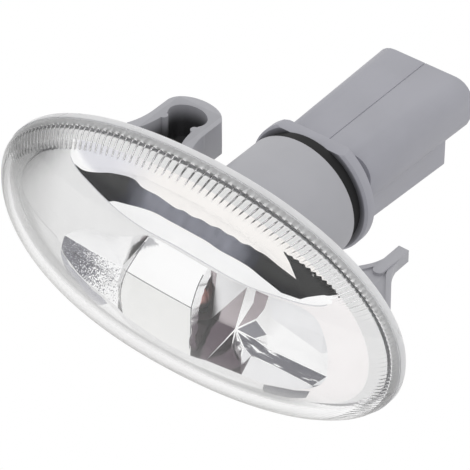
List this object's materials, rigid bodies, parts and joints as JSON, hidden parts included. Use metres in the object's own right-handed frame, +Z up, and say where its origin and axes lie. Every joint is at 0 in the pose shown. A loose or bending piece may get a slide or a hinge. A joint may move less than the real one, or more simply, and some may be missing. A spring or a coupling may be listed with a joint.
{
  "type": "side repeater lamp",
  "caption": "Clear oval side repeater lamp for a car wing, with reflector, spring clip, hook, twist-in bulb holder and connector.",
  "frame": {"origin": "centre of the lens rim's back face, which seats on the car's panel", "axes": "+X along the long axis towards the hook, +Y through the panel towards the connector, +Z up; the lens faces -Y"},
  "size_m": [0.09, 0.0799, 0.0486],
  "materials": {
    "lens": "clear, polished",
    "reflector": "vacuum-metallised, mirror bright",
    "housing": "moulded, satin",
    "holder": "moulded, satin",
    "seal": "matt",
    "bulb": "amber, clear",
    "leads": "bare wire",
    "contacts": "stamped strip"
  },
  "bodies": {
    "lamp": {"lens": "lens", "reflector": "reflector", "housing": "housing"},
    "holder": {"bulb_holder": "holder", "holder_seal": "seal", "bulb": "bulb", "bulb_leads": "leads", "contact_left": "contacts", "contact_right": "contacts"}
  },
  "joints": [
    {"name": "holder_twist", "type": "hinge", "parent": "lamp", "child": "holder", "pos_m": [0.0026, 0.026, 0], "axis": [0, 1, 0], "range_deg": [0, 45]}
  ]
}
